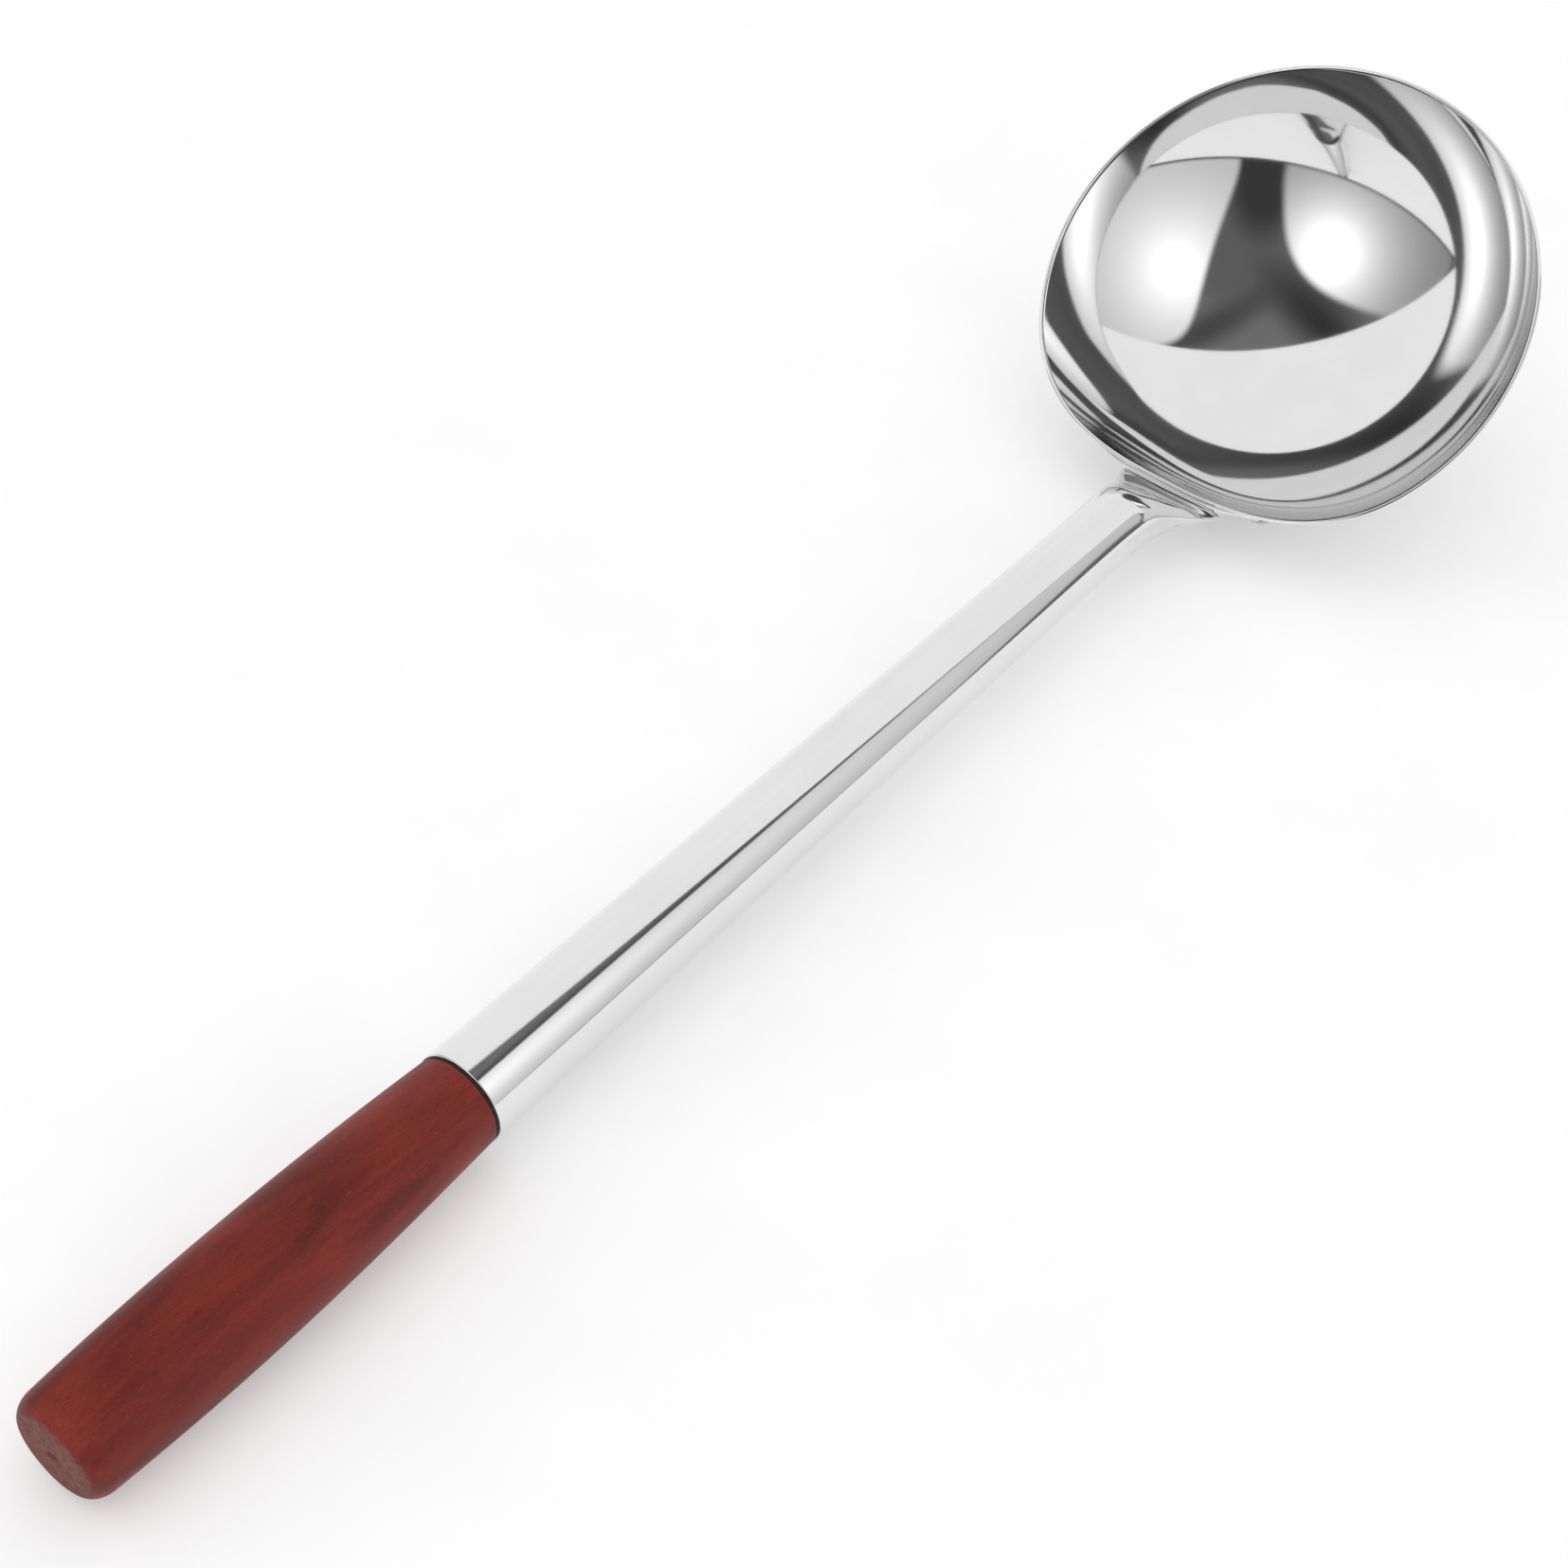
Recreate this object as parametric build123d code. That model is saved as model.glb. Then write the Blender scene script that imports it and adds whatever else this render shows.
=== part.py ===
from build123d import *
import os
from math import asin, atan2, cos, degrees, hypot, radians, sin, sqrt

# Wok ladle: a stamped steel bowl, a rolled tapered steel tube whose front end is pressed
# into a fish-tail and welded to the bowl, and a turned wooden grip glued and pinned into
# the tube. Millimetres.
#
# Bowl frame, used for modelling: origin at the centre of the rim circle, Z square to the
# rim plane, X towards the handle. Handle frame: Z along the handle's axis from the rim
# plane towards the butt, Y square to it on the upper side, X across.
# At the end everything is turned into the rest frame: the ladle lying on a table, on the
# bottom of its bowl and the belly of its grip, handle along +X, Z up, origin at the
# bottom centre of its bounding box.

# Sheet and bowl
SHEET = 0.8  # steel sheet thickness
RIM_RADIUS = 59.2  # inside radius of the round part of the rim
RIM_SLOPE = 66.5  # degrees between the wall and the rim plane, at the rim
WALL_FLAT_LEAN = 5.0  # degrees that the pressed-in wall at the neck leans outwards
WALL_FLAT_DISTANCE = 53.65  # from the ball's centre to the pressed-in wall
WALL_FLAT_BLEND = 43.0  # radius that blends the pressed-in wall into the ball
RIM_ROUNDING = 0.3  # broken edges of the trimmed rim

# Handle axis and tube
HANDLE_START_X = 48.3  # where the handle's axis meets the rim plane
HANDLE_RISE = 34.6  # degrees between the handle and the rim plane
TUBE_RADIUS_AT_RIM = 7.68  # outside radius of the cone, run down to the rim plane
TUBE_TAPER = 0.01184  # gain in radius for each mm along the handle
TUBE_END = 243.8  # distance from the rim plane to the tube's open end
NECK_END = 26.0  # where the fish-tail becomes the round tube

# Fish-tail: distance along the handle, height of its upper side, half width
FISH_TAIL = (
    (20.0, 6.6, 8.3),
    (13.0, 2.0, 9.9),
    (7.0, -1.7, 11.8),
    (1.0, -3.6, 13.6),
    (-8.0, -3.9, 15.0),
)
LIP_HALF_WIDTH = 24.0  # side lips that wrap the bowl's outside
LIP_HEIGHT = 13.0
LIP_DROP = 0.9  # from the rim plane down to the lips' upper edge
LIP_THICKNESS = 1.0

# Welds
NECK_BEAD_WIDTH = 1.8
NECK_BEAD_HEIGHT = 0.7
SEAM_WIDTH = 0.9
SEAM_PROUD = 0.12
SEAM_START = 30.0

# Grip: half-diameters of the turned profile at distances from its shoulder
GRIP_SHOULDER = (0.0, 10.25)
GRIP_SWELL = (24.0, 11.55)
GRIP_BELLY = (58.0, 12.4)
GRIP_HEEL = (97.7, 11.65)
GRIP_LENGTH = 102.7
GRIP_SHOULDER_FLARE = (0.07, 1)  # the profile's direction where it leaves the shoulder
GRIP_HEEL_TAPER = (-0.03, 1)  # and where it reaches the heel
BUTT_FLAT_RADIUS = 8.4
DIMPLE_RADIUS = 1.5  # mark of the lathe centre in the butt
DIMPLE_DEPTH = 1.0
TENON_LENGTH = 38.0
TENON_TIP_CHAMFER = 1.0
GLUE_LINE = 0.5  # width of the glue showing between tube and grip
GLUE_GAP = 0.15  # radial gap that the glue fills
GLUE_DEPTH = 16.0
GLUE_SETBACK = 0.25  # how far the glue stays inside the tube's outer edge

# Retaining pin, on the side of the tube at right angles to the ladle's mid-plane
PIN_RADIUS = 1.0
PIN_LENGTH = 8.0
PIN_FROM_END = 8.0
PIN_HEAD_RADIUS = 1.9
PIN_HEAD_HEIGHT = 0.6
PIN_HEAD_ROUNDING = 0.48
PIN_HEAD_GAP = 0.05  # keeps the flat underside of the head off the cone

BIG = 400.0  # larger than the ladle, for cutting tools
UPWARDS = (Align.CENTER, Align.CENTER, Align.MIN)  # solids that stand on their origin
DOWNWARDS = (Align.CENTER, Align.CENTER, Align.MAX)

ball_radius = RIM_RADIUS / sin(radians(RIM_SLOPE))
ball_height = ball_radius * cos(radians(RIM_SLOPE))
# Centre of the blend arc: its distances along and away from the axis of the pressed-in wall
blend_up = WALL_FLAT_DISTANCE - WALL_FLAT_BLEND
blend_out = sqrt((ball_radius - WALL_FLAT_BLEND) ** 2 - blend_up**2)
shoulder = TUBE_END + GLUE_LINE
handle_axis = Vector(cos(radians(HANDLE_RISE)), 0, sin(radians(HANDLE_RISE)))
handle_frame = Plane(
    origin=(HANDLE_START_X, 0, 0), x_dir=(0, 1, 0), z_dir=handle_axis
).location


def tube_radius(distance):
    """Outside radius of the round tube at a distance along the handle."""
    return TUBE_RADIUS_AT_RIM + TUBE_TAPER * distance


def pressed_ball(offset):
    """Solid ball with the pressed-in neck wall, its surface moved out by offset."""
    radius = ball_radius + offset
    flat = WALL_FLAT_DISTANCE + offset
    blend = WALL_FLAT_BLEND + offset
    tangent = degrees(atan2(blend_out, blend_up))
    outline = [
        CenterArc((0, 0), radius, -90, 180 - tangent),
        CenterArc((blend_out, blend_up), blend, 90 - tangent, tangent),
        Line((blend_out, flat), (0, flat)),
        Line((0, flat), (0, -radius)),
    ]
    ball = revolve(make_face(outline), Axis.Y)
    return Pos(0, 0, ball_height) * Rot(Y=WALL_FLAT_LEAN) * Rot(Z=-90) * ball


def below(height):
    """Cutting block that fills the bowl frame below a height."""
    return Pos(0, 0, height - BIG / 2) * Box(BIG, BIG, BIG)


def round_section(distance, inset):
    """Circle of the round tube, made smaller by inset."""
    return Pos(0, 0, distance) * Circle(tube_radius(distance) - inset)


def fish_tail_section(distance, upper, half_width, inset):
    """Flattened section: its lower side stays on the cone, its upper side is pressed down."""
    lower = -tube_radius(distance)
    middle = (upper + lower) / 2
    half_height = (upper - lower) / 2
    return Pos(0, middle, distance) * Ellipse(half_width - inset, half_height - inset)


def tube_body(inset):
    """Round tapered tube with the fish-tail neck, in the handle frame."""
    joint = tube_radius(NECK_END) - inset
    cone = Pos(0, 0, NECK_END) * Cone(
        joint,
        tube_radius(TUBE_END) - inset,
        TUBE_END - NECK_END,
        align=UPWARDS,
    )
    sections = [fish_tail_section(*station, inset) for station in reversed(FISH_TAIL)]
    sections.append(round_section(NECK_END, inset))
    return loft(sections) + cone


def lip_outline(grow):
    """Lens-shaped prism along X: the outline of the lips, seen along the mid-plane."""
    lens = Ellipse(LIP_HALF_WIDTH + grow, LIP_HEIGHT + grow)
    toward_handle = Plane(origin=(0, 0, -LIP_DROP), x_dir=(0, 1, 0), z_dir=(1, 0, 0))
    return extrude(toward_handle * lens, BIG) & below(-LIP_DROP)


def shell_on_bowl(thickness, outline):
    """Layer of a given thickness lying on the bowl's outer wall, inside an outline."""
    layer = pressed_ball(SHEET + thickness) - pressed_ball(SHEET)
    return layer & outline


def seam_slot():
    """Narrow block along the underside of the tube."""
    length = TUBE_END - SEAM_START
    depth = 2 * TUBE_RADIUS_AT_RIM
    middle = Pos(0, -depth, SEAM_START + length / 2)
    return middle * Box(SEAM_WIDTH, 2 * depth, length)


def pin_frame():
    """Place of the retaining pin, on the tube's skin, with Z pointing into the tenon."""
    distance = TUBE_END - PIN_FROM_END
    skin = (-tube_radius(distance), 0, distance)
    return Plane(origin=skin, x_dir=(0, 1, 0), z_dir=(1, 0, 0)).location


def pin_hole():
    """Cylinder for the retaining pin: it runs from outside the tube into the tenon."""
    return pin_frame() * Cylinder(PIN_RADIUS, 2 * PIN_LENGTH)


def make_bowl():
    bowl = (pressed_ball(SHEET) - pressed_ball(0)) & below(0)
    rim_edges = bowl.faces().sort_by(Axis.Z)[-1].edges()
    return fillet(rim_edges, RIM_ROUNDING)


def make_handle_tube():
    outside = handle_frame * tube_body(0)
    hollow = handle_frame * tube_body(SHEET)
    lips = shell_on_bowl(LIP_THICKNESS, lip_outline(0))
    tube = outside + lips - hollow - pressed_ball(SHEET)
    return tube - handle_frame * seam_slot() - handle_frame * pin_hole()


def make_tube_seam_weld():
    outside = tube_radius(SEAM_START) + SEAM_PROUD
    inside = tube_radius(SEAM_START) - SHEET
    gain = TUBE_TAPER * (TUBE_END - SEAM_START)
    ring = Cone(outside, outside + gain, TUBE_END - SEAM_START, align=UPWARDS)
    ring -= Cone(inside, inside + gain, TUBE_END - SEAM_START, align=UPWARDS)
    return handle_frame * (Pos(0, 0, SEAM_START) * ring & seam_slot())


def make_neck_weld():
    band = lip_outline(NECK_BEAD_WIDTH) - lip_outline(0)
    return shell_on_bowl(NECK_BEAD_HEIGHT, band)


def tenon(inset):
    """Tapered solid that fills the tube's mouth, less an inset, up to the grip's shoulder."""
    tip = shoulder - TENON_LENGTH
    gap = SHEET + inset
    cone = Cone(
        tube_radius(tip) - gap,
        tube_radius(shoulder) - gap,
        TENON_LENGTH,
        align=UPWARDS,
    )
    return Pos(0, 0, tip) * cone


def make_wood_grip():
    shoulder_side = Line((0, 0), (GRIP_SHOULDER[1], 0))
    stations = (GRIP_SHOULDER, GRIP_SWELL, GRIP_BELLY, GRIP_HEEL)
    swell = Spline(
        *[(radius, distance) for distance, radius in stations],
        tangents=[GRIP_SHOULDER_FLARE, GRIP_HEEL_TAPER],
    )
    corner = EllipticalCenterArc(
        (BUTT_FLAT_RADIUS, GRIP_HEEL[0]),
        GRIP_HEEL[1] - BUTT_FLAT_RADIUS,
        GRIP_LENGTH - GRIP_HEEL[0],
        start_angle=0,
        arc_size=90,
    )
    butt = Line((BUTT_FLAT_RADIUS, GRIP_LENGTH), (DIMPLE_RADIUS, GRIP_LENGTH))
    dimple = Line((DIMPLE_RADIUS, GRIP_LENGTH), (0, GRIP_LENGTH - DIMPLE_DEPTH))
    spine = Line((0, GRIP_LENGTH - DIMPLE_DEPTH), (0, 0))
    turned = revolve(make_face([shoulder_side, swell, corner, butt, dimple, spine]), Axis.Y)
    grip = Pos(0, 0, shoulder) * Rot(X=90) * turned
    plug = tenon(GLUE_GAP)
    plug = chamfer(plug.edges().sort_by(Axis.Z)[0], TENON_TIP_CHAMFER)
    return handle_frame * (grip + plug - pin_hole())


def make_grip_adhesive():
    collar_radius = tube_radius(TUBE_END) - GLUE_SETBACK
    collar = Pos(0, 0, TUBE_END) * Cylinder(collar_radius, GLUE_LINE, align=UPWARDS)
    depth = Pos(0, 0, TUBE_END - GLUE_DEPTH) * Cylinder(BIG, GLUE_DEPTH, align=UPWARDS)
    sleeve = tenon(0) & depth
    return handle_frame * (collar + sleeve - tenon(GLUE_GAP) - pin_hole())


def make_grip_pin():
    shank = Cylinder(PIN_RADIUS, PIN_LENGTH, align=UPWARDS)
    head = Cylinder(PIN_HEAD_RADIUS, PIN_HEAD_HEIGHT, align=DOWNWARDS)
    head = fillet(head.edges().sort_by(Axis.Z)[0], PIN_HEAD_ROUNDING)
    driven = Pos(0, 0, -PIN_HEAD_GAP)
    return handle_frame * pin_frame() * driven * (shank + head)


def rest_tilt():
    """Degrees to turn about Y so that the bowl and the grip's belly touch one level.

    The bowl touches on its blend arc, below the pressed-in wall.
    """
    lean = radians(WALL_FLAT_LEAN)
    arc_x = blend_up * cos(lean) - blend_out * sin(lean)
    arc_z = ball_height - blend_up * sin(lean) - blend_out * cos(lean)
    belly = Vector(HANDLE_START_X, 0, 0) + handle_axis * (shoulder + GRIP_BELLY[0])
    reach = belly.X - arc_x
    rise = belly.Z - arc_z
    drop = WALL_FLAT_BLEND + SHEET - GRIP_BELLY[1]
    return degrees(atan2(rise, reach) + asin(drop / hypot(reach, rise)))


def to_rest(parts):
    """Turn the named parts into the rest frame and set the origin under their middle."""
    turned = {name: Rot(Y=rest_tilt()) * shape for name, shape in parts.items()}
    box = Compound(list(turned.values())).bounding_box()
    shift = Pos(-box.center().X, 0, -box.min.Z)
    return {name: shift * shape for name, shape in turned.items()}


ladle = to_rest(
    {
        "bowl": make_bowl(),
        "handle_tube": make_handle_tube(),
        "tube_seam_weld": make_tube_seam_weld(),
        "neck_weld": make_neck_weld(),
        "wood_grip": make_wood_grip(),
        "grip_adhesive": make_grip_adhesive(),
        "grip_pin": make_grip_pin(),
    }
)

os.makedirs("parts", exist_ok=True)
for name, shape in ladle.items():
    export_step(shape, f"parts/{name}.step")
    print(name, "volume", round(shape.volume, 1), "box", shape.bounding_box())
print("rest tilt", round(rest_tilt(), 3))
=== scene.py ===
import math

import bmesh
import bpy
import numpy as np
from mathutils import Matrix, Vector


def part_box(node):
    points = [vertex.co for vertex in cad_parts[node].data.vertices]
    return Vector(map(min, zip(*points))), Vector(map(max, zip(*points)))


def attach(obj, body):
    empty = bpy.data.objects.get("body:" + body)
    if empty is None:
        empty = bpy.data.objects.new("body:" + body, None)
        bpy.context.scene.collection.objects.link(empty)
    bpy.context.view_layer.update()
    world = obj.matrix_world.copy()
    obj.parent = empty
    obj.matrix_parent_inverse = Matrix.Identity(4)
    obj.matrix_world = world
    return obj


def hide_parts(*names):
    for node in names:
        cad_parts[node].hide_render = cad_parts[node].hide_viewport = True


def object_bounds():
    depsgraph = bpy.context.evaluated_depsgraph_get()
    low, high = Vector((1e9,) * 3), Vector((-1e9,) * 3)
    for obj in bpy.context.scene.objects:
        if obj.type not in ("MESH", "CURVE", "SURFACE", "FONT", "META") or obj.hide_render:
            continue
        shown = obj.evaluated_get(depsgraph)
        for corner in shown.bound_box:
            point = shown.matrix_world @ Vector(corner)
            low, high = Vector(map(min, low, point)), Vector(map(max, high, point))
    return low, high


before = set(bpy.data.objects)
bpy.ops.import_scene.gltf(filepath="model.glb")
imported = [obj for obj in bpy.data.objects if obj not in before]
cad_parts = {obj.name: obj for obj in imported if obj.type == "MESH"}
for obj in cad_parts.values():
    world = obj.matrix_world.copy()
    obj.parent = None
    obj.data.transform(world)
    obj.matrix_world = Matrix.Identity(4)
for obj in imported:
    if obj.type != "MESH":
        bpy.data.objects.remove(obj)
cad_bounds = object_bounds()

# A steel wok ladle lying on a table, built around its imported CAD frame.
# Shapes are worked out in millimetres in the bowl frame (origin at the centre of the rim,
# Z square to the rim plane, X towards the handle) or the handle frame (Z along the handle,
# Y on its upper side, X across), then set down in the row frame in metres.

MM = 0.001

# Driving sizes, the same as the CAD model's
SHEET = 0.8
RIM_RADIUS = 59.2
RIM_SLOPE = math.radians(66.5)
WALL_LEAN = math.radians(5.0)
WALL_FLAT = 53.65
WALL_BLEND = 43.0
HANDLE_START = 48.3
HANDLE_RISE = math.radians(34.6)
TUBE_RADIUS_AT_RIM = 7.68
TUBE_TAPER = 0.01184
TUBE_END = 243.8
NECK_END = 26.0
LIP_HALF_WIDTH = 24.0
LIP_HEIGHT = 13.0
LIP_DROP = 0.9
SEAM_START = 30.0
GLUE_LINE = 0.5
GLUE_DEPTH = 16.0
GLUE_GAP = 0.15
GRIP_SHOULDER = (0.0, 10.25)
GRIP_SWELL = (24.0, 11.55)
GRIP_BELLY = (58.0, 12.4)
GRIP_HEEL = (97.7, 11.65)
GRIP_LENGTH = 102.7
BUTT_FLAT_RADIUS = 8.4
DIMPLE_RADIUS = 1.5
DIMPLE_DEPTH = 1.0
TENON_LENGTH = 38.0
TENON_TIP_CHAMFER = 1.0
PIN_FROM_END = 8.0
PIN_LENGTH = 8.0
PIN_RADIUS = 1.0
PIN_HEAD_RADIUS = 1.9
PIN_HEAD_HEIGHT = 0.6

ball_radius = RIM_RADIUS / math.sin(RIM_SLOPE)
ball_height = ball_radius * math.cos(RIM_SLOPE)
blend_up = WALL_FLAT - WALL_BLEND
blend_out = math.sqrt((ball_radius - WALL_BLEND) ** 2 - blend_up**2)
shoulder = TUBE_END + GLUE_LINE

handle_origin = np.array([HANDLE_START, 0.0, 0.0])
along = np.array([math.cos(HANDLE_RISE), 0.0, math.sin(HANDLE_RISE)])
across = np.array([0.0, 1.0, 0.0])
upward = np.array([-math.sin(HANDLE_RISE), 0.0, math.cos(HANDLE_RISE)])


def tube_radius(distance):
    return TUBE_RADIUS_AT_RIM + TUBE_TAPER * distance


# ---------------------------------------------------------------- resting place


def rest_tilt():
    """Turn about Y that lays the bowl's blend arc and the grip's belly on one level."""
    arc_x = blend_up * math.cos(WALL_LEAN) - blend_out * math.sin(WALL_LEAN)
    arc_z = ball_height - blend_up * math.sin(WALL_LEAN) - blend_out * math.cos(WALL_LEAN)
    belly = handle_origin + along * (shoulder + GRIP_BELLY[0])
    reach = belly[0] - arc_x
    rise = belly[2] - arc_z
    drop = WALL_BLEND + SHEET - GRIP_BELLY[1]
    return math.atan2(rise, reach) + math.asin(drop / math.hypot(reach, rise))


tilt = rest_tilt()
turn = np.array(
    [
        [math.cos(tilt), 0.0, math.sin(tilt)],
        [0.0, 1.0, 0.0],
        [-math.sin(tilt), 0.0, math.cos(tilt)],
    ]
)
rest_shift = np.zeros(3)  # found by settle() once the bowl's skin is made


def to_row(points):
    """Bowl frame in millimetres to row frame in metres."""
    return (np.asarray(points) @ turn.T) * MM + rest_shift


def from_handle(points):
    """Handle frame (across, upward, along) to bowl frame."""
    points = np.asarray(points)
    axes = np.stack([across, upward, along])
    return points @ axes + handle_origin


# ---------------------------------------------------------------- the bowl's wall


def unit(polar, azimuth):
    """Unit direction from the ball's centre: polar angle from straight down, azimuth from +X."""
    return np.stack(
        [np.sin(polar) * np.cos(azimuth), np.sin(polar) * np.sin(azimuth), -np.cos(polar)],
        axis=-1,
    )


def pressed_ball(directions):
    """Distance from the ball's centre to a ball with one side flattened, as the CAD bowl has."""
    lean_axis = np.array([math.cos(WALL_LEAN), 0.0, -math.sin(WALL_LEAN)])
    cosine = np.clip(directions @ lean_axis, -1.0, 1.0)
    sine = np.sqrt(1.0 - cosine**2)
    angle = np.arccos(cosine)
    reach = blend_up * cosine + blend_out * sine
    inside = np.maximum(reach**2 - blend_up**2 - blend_out**2 + WALL_BLEND**2, 0.0)
    blended = reach + np.sqrt(inside)
    flattened = WALL_FLAT / np.maximum(cosine, 1e-6)
    result = np.where(angle < math.atan2(blend_out, blend_up), blended, ball_radius)
    return np.where(angle < math.atan2(blend_out, WALL_FLAT), flattened, result)


def bisect(is_past, low, high):
    """Where is_past turns true, for each item, between low and high."""
    for _ in range(40):
        middle = (low + high) / 2
        past = is_past(middle)
        high = np.where(past, middle, high)
        low = np.where(past, low, middle)
    return (low + high) / 2


# The rim's outline: its polar angle, and how far it is pressed in, by azimuth
outline_azimuth = np.radians(np.arange(0.0, 181.0))
outline_polar = bisect(
    lambda polar: pressed_ball(unit(polar, outline_azimuth)) * np.cos(polar) < ball_height,
    np.full(outline_azimuth.shape, 0.8),
    np.full(outline_azimuth.shape, 1.4),
)
outline_press = ball_radius - pressed_ball(unit(outline_polar, outline_azimuth))

PRESS_START = 0.62  # share of the way up the wall where the pressing begins
SETTLED = 0.6  # the bottom sits this much lower than a true ball's
LOPSIDED = 2.0  # the wall swells by up to 0.4 of this on one side, and sinks on the other
LOPSIDED_AZIMUTH = math.radians(114.0)  # where it swells most


def wall_distance(directions, offset):
    """Distance from the ball's centre to the finished wall, moved out by offset."""
    azimuth = np.arctan2(directions[:, 1], directions[:, 0])
    polar = np.arccos(np.clip(-directions[:, 2], -1.0, 1.0))
    rise = polar / np.interp(np.abs(azimuth), outline_azimuth, outline_polar)
    part = np.clip((rise - PRESS_START) / (1.0 - PRESS_START), 0.0, 1.2)
    # The wall bends in like a cantilever, most at the rim
    press = np.interp(np.abs(azimuth), outline_azimuth, outline_press) * part**2 * (3.0 - part) / 2
    fade = 1.0 - rise**2
    swell = fade * (SETTLED + LOPSIDED * rise * np.cos(azimuth - LOPSIDED_AZIMUTH))
    return ball_radius + swell - press + offset


def wall_point(polar, azimuth, offset):
    directions = unit(polar, azimuth)
    points = directions * wall_distance(directions, offset)[:, None]
    points[:, 2] += ball_height
    return points


def polar_at(azimuth, offset, height):
    """Polar angle where the wall reaches a height in the bowl frame."""
    return bisect(
        lambda polar: wall_point(polar, azimuth, offset)[:, 2] > height,
        np.full(azimuth.shape, 0.3),
        np.full(azimuth.shape, 1.4),
    )


def wall_spot(sideways, height, offset):
    """Points of the wall near the neck, moved out by offset, at a Y and a Z of the bowl frame."""
    azimuth = np.arcsin(np.clip(sideways / RIM_RADIUS, -1.0, 1.0))
    for _ in range(6):
        points = wall_point(polar_at(azimuth, offset, height), azimuth, offset)
        reach = np.hypot(points[:, 0], points[:, 1])
        azimuth = np.arcsin(np.clip(sideways / reach, -1.0, 1.0))
    return points


# ---------------------------------------------------------------- meshes

COORDINATES = "surface"  # the attribute that holds each material's coordinates


def new_object(name, points, faces, material):
    mesh = bpy.data.meshes.new(name)
    mesh.from_pydata(points, [], faces)
    mesh.update()
    mesh.shade_smooth()
    mesh.materials.append(material)
    piece = bpy.data.objects.new(name, mesh)
    bpy.context.scene.collection.objects.link(piece)
    return piece


def face_outwards(mesh):
    """Turns the faces of a closed mesh to point out of it."""
    shape = bmesh.new()
    shape.from_mesh(mesh)
    bmesh.ops.recalc_face_normals(shape, faces=shape.faces)
    shape.to_mesh(mesh)
    shape.free()


def add_coordinates(piece, values):
    """Stores a vector at each vertex for the materials to read."""
    layer = piece.data.attributes.new(COORDINATES, "FLOAT_VECTOR", "POINT")
    layer.data.foreach_set("vector", np.asarray(values, np.float32).ravel())


def ring_faces(rings, count, start_pole, end_pole, loop):
    """Quads between successive closed rings, with triangle fans at the poles.

    Vertices are ordered ring by ring, then the start pole, then the end pole. In a loop the
    last ring is joined to the first.
    """
    faces = []
    for ring in range(rings if loop else rings - 1):
        base = ring * count
        above = (ring + 1) % rings * count
        for i in range(count):
            j = (i + 1) % count
            faces.append((base + i, base + j, above + j, above + i))
    pole = rings * count
    if start_pole:
        faces += [((i + 1) % count, i, pole) for i in range(count)]
        pole += 1
    if end_pole:
        base = (rings - 1) * count
        faces += [(base + i, base + (i + 1) % count, pole) for i in range(count)]
    return faces


def ringed_piece(name, rings, coordinates, material, start=None, end=None, loop=False):
    """Closed skin over an array of rings (ring, point, xyz) in bowl-frame millimetres."""
    count = rings.shape[1]
    points = rings.reshape(-1, 3)
    values = coordinates.reshape(-1, 3)
    for pole, ring in ((start, 0), (end, -1)):
        if pole is not None:
            points = np.vstack([points, pole])
            values = np.vstack([values, coordinates[ring].mean(axis=0)])
    faces = ring_faces(rings.shape[0], count, start is not None, end is not None, loop)
    piece = new_object(name, to_row(points), faces, material)
    face_outwards(piece.data)
    add_coordinates(piece, values)
    return piece


def full_turn(count):
    """Angles evenly spaced round a ring."""
    return np.linspace(0.0, 2 * math.pi, count, endpoint=False)


def circle(distance, radius, angle):
    """Ring about the handle's axis, in the handle frame."""
    return np.stack([radius * np.sin(angle), radius * np.cos(angle), distance + 0 * angle], axis=-1)


# ---------------------------------------------------------------- node helpers


def shader(name):
    """New material with its Principled shader, ready for nodes."""
    material = bpy.data.materials.new(name)
    material.use_nodes = True
    tree = material.node_tree
    return material, tree, tree.nodes["Principled BSDF"]


def surface_coordinates(tree):
    node = tree.nodes.new("ShaderNodeAttribute")
    node.attribute_name = COORDINATES
    return node.outputs["Vector"]


def stretched(tree, vector, scale):
    node = tree.nodes.new("ShaderNodeMapping")
    tree.links.new(vector, node.inputs["Vector"])
    node.inputs["Scale"].default_value = scale
    return node.outputs["Vector"]


def noise(tree, vector, scale, detail=3.0, roughness=0.55, distortion=0.0):
    node = tree.nodes.new("ShaderNodeTexNoise")
    tree.links.new(vector, node.inputs["Vector"])
    node.inputs["Scale"].default_value = scale
    node.inputs["Detail"].default_value = detail
    node.inputs["Roughness"].default_value = roughness
    node.inputs["Distortion"].default_value = distortion
    return node.outputs["Fac"]


def ranged(tree, value, low, high, to_low, to_high, smooth=False):
    node = tree.nodes.new("ShaderNodeMapRange")
    if smooth:
        node.interpolation_type = "SMOOTHSTEP"
    tree.links.new(value, node.inputs["Value"])
    node.inputs["From Min"].default_value = low
    node.inputs["From Max"].default_value = high
    node.inputs["To Min"].default_value = to_low
    node.inputs["To Max"].default_value = to_high
    return node.outputs["Result"]


def combine(tree, operation, first, second):
    """Math node on two sockets or numbers."""
    node = tree.nodes.new("ShaderNodeMath")
    node.operation = operation
    for socket, value in zip(node.inputs, (first, second)):
        if isinstance(value, (int, float)):
            socket.default_value = value
        else:
            tree.links.new(value, socket)
    return node.outputs["Value"]


def ramp(tree, value, stops):
    node = tree.nodes.new("ShaderNodeValToRGB")
    tree.links.new(value, node.inputs["Fac"])
    elements = node.color_ramp.elements
    while len(elements) < len(stops):
        elements.new(0.5)
    for element, (position, color) in zip(elements, stops):
        element.position = position
        element.color = (*color, 1.0)
    return node.outputs["Color"]


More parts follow.
